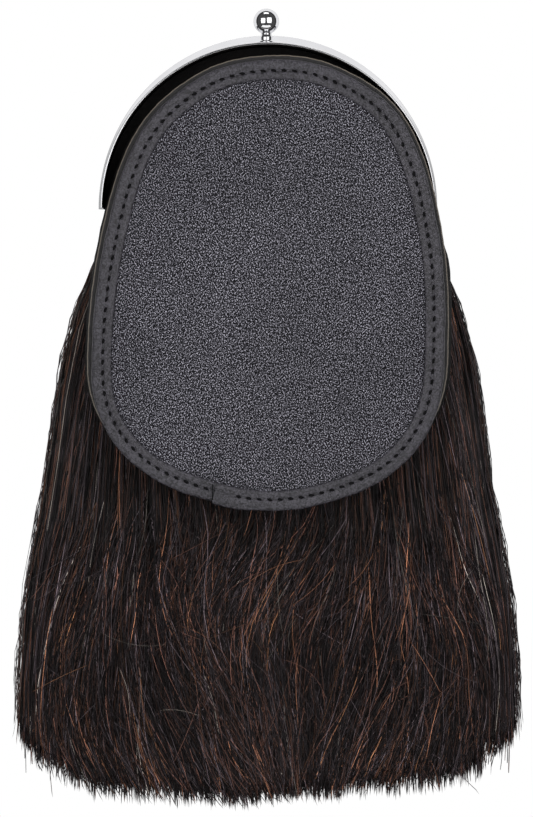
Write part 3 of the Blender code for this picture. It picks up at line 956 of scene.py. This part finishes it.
def makeLocks(random, count, sign):
    # each lock has its place across the hair, its lean, its bend and how far it is cut short
    place = (np.arange(count) + random.uniform(-0.4, 0.4, count) + 0.5) / count
    centre = sign * np.clip(place, 0.0, 1.0)
    lean = np.interp(centre, hairLook["leanPlaces"], hairLook["leans"])
    lean = lean + random.normal(0, 0.0065, count) * (1 - 0.75 * np.abs(centre))
    return {
        "centre": centre,
        "lean": lean,
        "bend": random.normal(0, 0.0032, count) * (1 - 0.7 * np.abs(centre)),
        "bendPhase": random.uniform(0, math.tau, count),
        "short": random.normal(0, 0.0009, count),
        "depth": random.uniform(0, 1, count),
        "tone": random.uniform(0.55, 1.5, count),
    }


clumpRandom = np.random.default_rng(23)
clumpShift = clumpRandom.uniform(-0.35, 0.35, 200)
clumpShort = clumpRandom.normal(0, 0.0009, 200)


def tipShort(random, across):
    # how far each strand ends above the tip line: a few reach it, most end a little higher
    size = np.shape(across)
    wave = 0.0006 * np.sin(across * 31 + 1.0) + 0.0004 * np.sin(across * 83)
    isLong = random.uniform(0, 1, size) < 0.30
    longOnes, others = random.uniform(-0.0016, 0.0065, size), random.uniform(0.0045, 0.0120, size)
    return wave + np.where(isLong, longOnes, others)


def gatherTips(random, x, z, drop):
    # the tips stand in small clumps and turn this way and that
    clump = np.floor(x[:, -1] / hairLook["clump"]).astype(int)
    centre = (clump + 0.5 + clumpShift[clump % 200]) * hairLook["clump"]
    pull = smoothStep(0.93, 1.0, drop)
    flick = random.normal(0, 0.0006, len(x))[:, None] * smoothStep(0.965, 1.0, drop)
    x = x + 0.4 * pull * (centre - x[:, -1])[:, None] + flick
    return x, z + pull * clumpShort[clump % 200][:, None]


def strandPaths(random, locks, count, steps, depthRange, startRange, facing, limit=0.955):
    # paths of count strands as an array (count, steps, 3), and the tone of each
    column = (count, 1)
    lock = random.integers(0, len(locks["centre"]), column)
    width = 1.1 / len(locks["centre"])
    across = locks["centre"][lock]
    offset = random.normal(0, 0.95, column)
    rank = 0.65 * locks["depth"][lock] + 0.35 * random.uniform(0, 1, column)
    depth = depthRange[0] + (depthRange[1] - depthRange[0]) * rank
    depth = depth - facing * 0.05 * np.maximum(0.0, 1 - offset**2)
    shorter = locks["short"][lock] + tipShort(random, across)
    startDrop = random.uniform(*startRange, column)
    endDrop = np.where(random.uniform(0, 1, column) < 0.93, 1.0, random.uniform(0.7, 1.0, column))
    shares = np.linspace(0, 1, steps)
    if facing < 0:
        # points lie closer together near the tips, where the front of the hair curves in
        shares = 1 - (1 - shares) ** 1.4
    drop = startDrop + (endDrop - startDrop) * shares
    place = across + offset * width * (1.5 - 0.8 * smoothStep(0.2, 1.0, drop))
    place = np.sign(place) * (limit - np.abs(limit - np.abs(place)))
    x, y, z = hairPlace(place, drop, depth, shorter)
    loose = smoothStep(0.05, 0.35, drop)
    lean = locks["lean"][lock] * smoothStep(0.36, 1.05, drop)
    bend = locks["bend"][lock] * loose * np.sin(math.tau * drop * 0.9 + locks["bendPhase"][lock])
    phase = random.uniform(0, math.tau, (count, 3))
    size = 0.00055 * random.gamma(2.0, 0.5, column)
    turns = math.tau * random.uniform(0.8, 3.2, column) * drop
    slant = random.normal(0, 0.0040, column) * (drop - 0.5)
    calm = (1 - 0.55 * np.abs(place)) * loose
    x = x + lean + bend + calm * (size * np.sin(turns + phase[:, :1]) + slant)
    y = y + calm * size * 0.5 * np.sin(turns + phase[:, 1:2])
    x, z = gatherTips(random, x, z, drop)
    return np.stack([x, y, z], axis=2), locks["tone"][lock[:, 0]]


def flowPaths(random, count, steps, sign):
    # strands of the outermost layer at the back, which follow the lean of the hair
    place = sign * random.uniform(-0.05, 0.955, count)
    top = random.uniform(-0.285, -0.015, count)
    covered = (np.abs(place) < 0.80) & (top > -0.135)
    top = np.where(covered, random.uniform(-0.285, -0.135, count), top)
    drop = hairSpot(place * hairLook["halfWidth"], top)[1]
    x = place * hairWidth(drop)
    tip = tipLineZ(place) + tipShort(random, place)
    bottom = np.maximum(top - random.uniform(*hairFlow["lengths"], count), tip)
    reachesTip = bottom <= tip + 1e-9
    wild = random.uniform(0, 1, count) < hairFlow["wildShare"]
    own = random.normal(0, hairFlow["spreadDeg"], count)
    own = own + np.where(wild, random.normal(0, hairFlow["wildDeg"], count), 0.0)
    own = own + 6.0 * np.sin(x * 430 + 2.0 * np.sin(top * 55)) + 4.0 * np.sin(x * 1150 + top * 70 + 2)
    phase = random.uniform(0, math.tau, (count, 3))
    rate = random.uniform(0.5, 1.6, count)
    shares = np.linspace(0, 1, steps)
    down = (top - bottom) / (steps - 1)
    xs, zs = [], []
    z = top.copy()
    for share in shares:
        xs.append(x.copy())
        zs.append(z.copy())
        across, drop = hairSpot(x, z)
        turn = flowLean(x, z) + own * (1 - 0.7 * np.abs(across) ** 3)
        turn = turn + hairFlow["wanderDeg"] * np.sin(math.tau * rate * share + phase[:, 0])
        steepest = hairFlow["steepestDeg"]
        moved = x + np.tan(np.radians(np.clip(turn, -steepest, steepest))) * down
        kept = across * hairWidth(drop + down / hairFlow["keptOver"])
        hold = smoothStep(0.80, 0.97, np.abs(across))
        x = moved * (1 - hold) + kept * hold
        z = z - down
    x, z = np.stack(xs, axis=1), np.stack(zs, axis=1)
    across, drop = hairSpot(x, z)
    x, z = gatherTips(random, x, z, np.where(reachesTip[:, None], drop, 0.0))
    # both ends sink into the hair, unless the strand ends at the tips
    sink = smoothStep(0.84, 1.0, shares)[None, :] * ~reachesTip[:, None]
    sink = smoothStep(0.16, 0.0, shares)[None, :] + sink
    depth = random.uniform(*hairFlow["depths"], count)[:, None] + 0.11 * sink
    depth = depth + 0.012 * np.sin(math.tau * 1.7 * rate[:, None] * shares[None, :] + phase[:, 1:2])
    free = smoothStep(-0.150, -0.170, z)
    depth = np.where(depth < 0.01, depth * free + 0.01 * (1 - free), depth)
    y = hairPlace(across, drop, depth, 0.0)[1]
    topX = x[:, 0]
    tone = 1 + 0.30 * np.sin(topX * 820 + 1.7 * np.sin(top * 60)) + 0.22 * np.sin(topX * 2100 + top * 90 + 2)
    # painted glints: brighter stretches along each strand; painted sheen: a brighter band across the hair at
    # one height
    glint = np.exp(0.5 * np.sin(math.tau * 1.3 * rate[:, None] * shares[None, :] + phase[:, 2:]))
    sheen = 1 + 0.55 * np.exp(-(((z + 0.196) / 0.022) ** 2))
    return np.stack([x, y, z], axis=2), tone, glint * sheen


def edgePaths(random, count, steps, sign):
    # the outermost strands of each side, which sway and cross like a loose net
    drop = np.linspace(0.0, 1.0, steps)[None, :] * (1 - random.uniform(0.0, 0.06, count))[:, None]
    place = random.uniform(*hairLook["edgePlaces"], count)
    depth = random.uniform(-0.02, 1.0, count)
    phase = random.uniform(0, math.tau, (count, 3))
    sway = 0.0
    for wave, (size, rate) in enumerate(((0.00075, 3.1), (0.00055, 7.3), (0.0003, 12.0))):
        sway = sway + size * np.sin(math.tau * rate * drop + phase[:, wave : wave + 1])
    short = random.uniform(-0.001, 0.007, count)[:, None]
    x, y, z = hairPlace(sign * place[:, None], drop, depth[:, None], short)
    x = x + sway * smoothStep(0.03, 0.2, drop)
    x, z = gatherTips(random, x, z, drop)
    return np.stack([x, y, z], axis=2)


def strayPaths(random, count, steps, depth, lengths, spreadDeg):
    # single hairs that lie across the others in slight curves
    place = random.uniform(-0.93, 0.93, count)
    top = random.uniform(-0.262, -0.165, count)
    length = random.uniform(*lengths, count)
    share = np.linspace(0, 1, steps)[None, :]
    x0 = place * hairLook["halfWidth"]
    turn = np.radians(np.clip(flowLean(x0, top) + random.normal(0, spreadDeg, count), -80, 80))[:, None]
    bow = random.normal(0, 0.09, count)[:, None] * length[:, None] * 4 * share * (1 - share)
    x = x0[:, None] + np.sin(turn) * length[:, None] * share + np.cos(turn) * bow
    z = top[:, None] - np.cos(turn) * length[:, None] * share + np.sin(turn) * bow
    low = tipLineZ(x / hairLook["halfWidth"]) + 0.004
    z = z + np.max(np.maximum(0.0, low - z), axis=1, keepdims=True)
    over = np.max(np.abs(x), axis=1) - 0.121
    x = x - (np.sign(x0) * np.maximum(0.0, over))[:, None]
    across, drop = hairSpot(x, z)
    lift = 0.02 * (2 * share - 1) ** 6
    y = hairPlace(across, drop, depth + (lift if depth < 0.5 else -lift), 0.0)[1]
    return np.stack([x, y, z], axis=2)


def pickTints(random, count, tone=1.0):
    shares = np.array([share for share, color in hairLook["tints"]])
    colors = np.array([color for share, color in hairLook["tints"]])
    chosen = random.choice(len(shares), size=count, p=shares / shares.sum())
    bright = np.minimum(random.lognormal(0.0, 0.75, count) * tone, 3.4)
    return colors[chosen] * bright[:, None]


def makeStrands(name, paths, radius, tints, paintedSheen=None):
    # every strand is a closed three-sided tube that ends in a point
    count, steps = paths.shape[:2]
    along = np.gradient(paths, axis=1)
    along /= np.linalg.norm(along, axis=2, keepdims=True) + 1e-12
    side = np.cross(along, np.array([0.0, 1.0, 0.0]))
    side /= np.linalg.norm(side, axis=2, keepdims=True) + 1e-12
    other = np.cross(along, side)
    taper = np.interp(np.linspace(0, 1, steps), (0.0, 0.1, 0.8, 1.0), (0.7, 1.0, 0.95, 0.6))
    angles = np.radians((90.0, 210.0, 330.0))
    ring = np.cos(angles)[:, None] * side[:, :, None, :] + np.sin(angles)[:, None] * other[:, :, None, :]
    ring = radius[:, None, None, None] * taper[None, :, None, None] * ring
    last = paths[:, -1] - paths[:, -2]
    paths = paths.copy()
    paths[:, -2] = paths[:, -1] - last / (np.linalg.norm(last, axis=1, keepdims=True) + 1e-12) * 0.0030
    rings = (paths[:, :, None, :] + ring)[:, :-1]
    perStrand = (steps - 1) * 3 + 1
    points = np.concatenate([rings.reshape(count, -1, 3), paths[:, -1:, :]], axis=1).reshape(-1, 3)
    last, tip = (steps - 2) * 3, perStrand - 1
    sides = ((0, 1), (1, 2), (2, 0))
    quads = [(s + a, s + a + 3, s + b + 3, s + b) for s in range(0, last, 3) for a, b in sides]
    triangles = [(last + a, tip, last + b) for a, b in sides] + [(0, 1, 2)]
    offsets = (np.arange(count) * perStrand)[:, None, None]
    faces = []
    for pattern in (quads, triangles):
        faces += (np.array(pattern) + offsets).reshape(-1, len(pattern[0])).tolist()
    mesh = bpy.data.meshes.new(name)
    mesh.from_pydata(points.tolist(), [], faces)
    mesh.validate()
    colors = np.ones((count, perStrand, 4))
    colors[:, :, :3] = tints[:, None, :]
    # painted glints and painted sheen along the strands are multiplied into their colours
    if paintedSheen is not None:
        colors[:, :-1, :3] *= np.repeat(paintedSheen[:, :-1], 3, axis=1)[:, :, None]
        colors[:, -1, :3] *= paintedSheen[:, -1:]
    tintAndSheen = mesh.color_attributes.new("strandTintAndSheen", "FLOAT_COLOR", "POINT")
    tintAndSheen.data.foreach_set("color", colors.ravel())
    mesh.shade_smooth()
    piece = bpy.data.objects.new(name, mesh)
    bpy.context.scene.collection.objects.link(piece)
    finishPiece(piece, strand, "horsehair")


def makeHair():
    look = hairLook
    random = np.random.default_rng(7)
    share = 1.0
    for side, sign in (("Left", -1), ("Right", 1)):
        for name, count, steps, depths, starts, facing in look["layers"]:
            locks = makeLocks(random, look["locks"], sign)
            count = int(count * share)
            paths, tone = strandPaths(random, locks, count, steps, depths, starts, facing)
            radii = random.uniform(*look["radii"], count)
            # the back layer lies under the flow strands and is darkened: painted shade
            underLayerShade = 0.6 if facing > 0 else 1.0
            makeStrands(name + side, paths, radii, pickTints(random, count, tone * underLayerShade))
        count = int(hairFlow["strands"] * share)
        # the flow strands come with painted glints and a painted sheen band along them
        paths, tone, along = flowPaths(random, count, hairFlow["points"], sign)
        radii = random.uniform(*look["radii"], count)
        makeStrands("hairFlow" + side, paths, radii, pickTints(random, count, tone), along)
    paths, tones = [], []
    for sign in (-1, 1):
        count = look["sideLocks"]
        locks = makeLocks(random, count, sign)
        locks["centre"] = sign * random.uniform(*look["sidePlaces"], count)
        locks["lean"] = random.normal(0, 0.0008, count)
        locks["bend"] = random.normal(0, 0.0012, count)
        count = int(look["sideStrands"] * share)
        path, tone = strandPaths(random, locks, count, 8, (-0.05, 1.05), (0.0, 0.10), 0, 0.97)
        paths.append(path)
        tones.append(tone)
    paths = np.concatenate(paths)
    radii = random.uniform(*look["sideRadii"], len(paths))
    makeStrands("hairSides", paths, radii, pickTints(random, len(paths), np.concatenate(tones)))
    paths = np.concatenate([edgePaths(random, look["edgeStrands"], 30, sign) for sign in (-1, 1)])
    radii = random.uniform(*look["edgeRadii"], len(paths))
    makeStrands("hairEdges", paths, radii, pickTints(random, len(paths)))
    paths = np.concatenate([strayPaths(random, count, 9, *rest) for count, *rest in look["strays"]])
    tints = pickTints(random, len(paths)) * 1.15 + 0.003
    makeStrands("hairStrays", paths, random.uniform(*look["strayRadii"], len(paths)), tints)


makeHair()
print("hair made")

# Floor and light
stageLook = {
    "floorZ": -0.70,
    "floorRadius": 4.0,
    # brightness of the surround, from behind the camera at 0 to behind the object at 1
    "surround": (
        *((0.0, 0.05), (0.44, 0.07), (0.54, 0.02), (0.61, 0.02)),
        *((0.64, 0.86), (0.955, 0.86), (0.985, 0.36)),
    ),
    # place, point aimed at, width and height, and watts of the lights that show in the metal
    "mirrored": {
        "leftSoftbox": ((-0.58, -1.04, 0.167), (0, 0, 0.0), (0.83, 0.98), 4.0),
        "rightSoftbox": ((0.575, -1.045, 0.234), (0, 0, 0.0), (0.92, 1.08), 5.0),
        "lowSoftbox": ((0.0, -0.61, -0.656), (0, -0.61, 0.0), (1.36, 0.58), 2.5),
        "topCard": ((0.0, -0.26, 1.4), (0, -0.26, 0.0), (0.80, 0.35), 1.4),
    },
    # and of those that don't
    "unseen": {
        "leftFill": ((-0.58, -1.03, 0.167), (0, 0, 0.0), (0.83, 0.98), 7.5),
        "rightFill": ((0.575, -1.035, 0.234), (0, 0, 0.0), (0.92, 1.08), 9.5),
        "overheadSoftbox": ((0.1, -0.1, 1.45), (0, 0, -0.05), (1.4, 1.0), 12.0),
        "frontSoftbox": ((-0.5, 1.5, 0.6), (0, 0, -0.1), (0.9, 0.9), 14.0),
    },
}


def makeStage():
    deselectAll()
    radius, centre = stageLook["floorRadius"], (0, 0, stageLook["floorZ"])
    bpy.ops.mesh.primitive_circle_add(vertices=96, radius=radius, fill_type="NGON", location=centre)
    floor = bpy.context.object
    floor.name = "paleFloor"
    look = newLook("pale floor")
    floor.data.materials.append(look.set(Base_Color=(0.93, 0.93, 0.93, 1.0), Roughness=0.9))
    floor.visible_glossy = False


def addLight(name, mirrored, place, aim, size, power):
    bpy.ops.object.light_add(type="AREA", location=place)
    light = bpy.context.object
    light.name = name
    light.data.shape = "RECTANGLE"
    light.data.size, light.data.size_y = size
    light.data.energy = power
    light.visible_glossy = mirrored
    direction = np.array(aim, float) - np.array(place, float)
    light.rotation_euler = Vector(direction).to_track_quat("-Z", "Y").to_euler()


def makeWorld():
    # white to look at, and for light and reflections bright behind the object and dark behind the camera
    world = bpy.data.worlds.new("white studio")
    bpy.context.scene.world = world
    look = Nodes(world, "Background")
    where = look.add("ShaderNodeTexCoord").outputs["Generated"]
    along = look.add("ShaderNodeSeparateXYZ", {"Vector": where}).outputs["Y"]
    spread = look.add("ShaderNodeMapRange", {"Value": along, "From Min": -1.0}).outputs[0]
    stops = [(place, (value, value, value * 1.01)) for place, value in stageLook["surround"]]
    isSeen = look.add("ShaderNodeLightPath").outputs["Is Camera Ray"]
    look.set(Color=look.mix(isSeen, look.ramp(spread, *stops), (1.0, 1.0, 1.0)), Strength=1.0)


def makeLights():
    for mirrored, kind in ((True, "mirrored"), (False, "unseen")):
        for name, setting in stageLook[kind].items():
            addLight(name, mirrored, *setting)


makeStage()
makeWorld()
makeLights()
bpy.context.scene.view_settings.view_transform = "Standard"
print("stage and lights made")
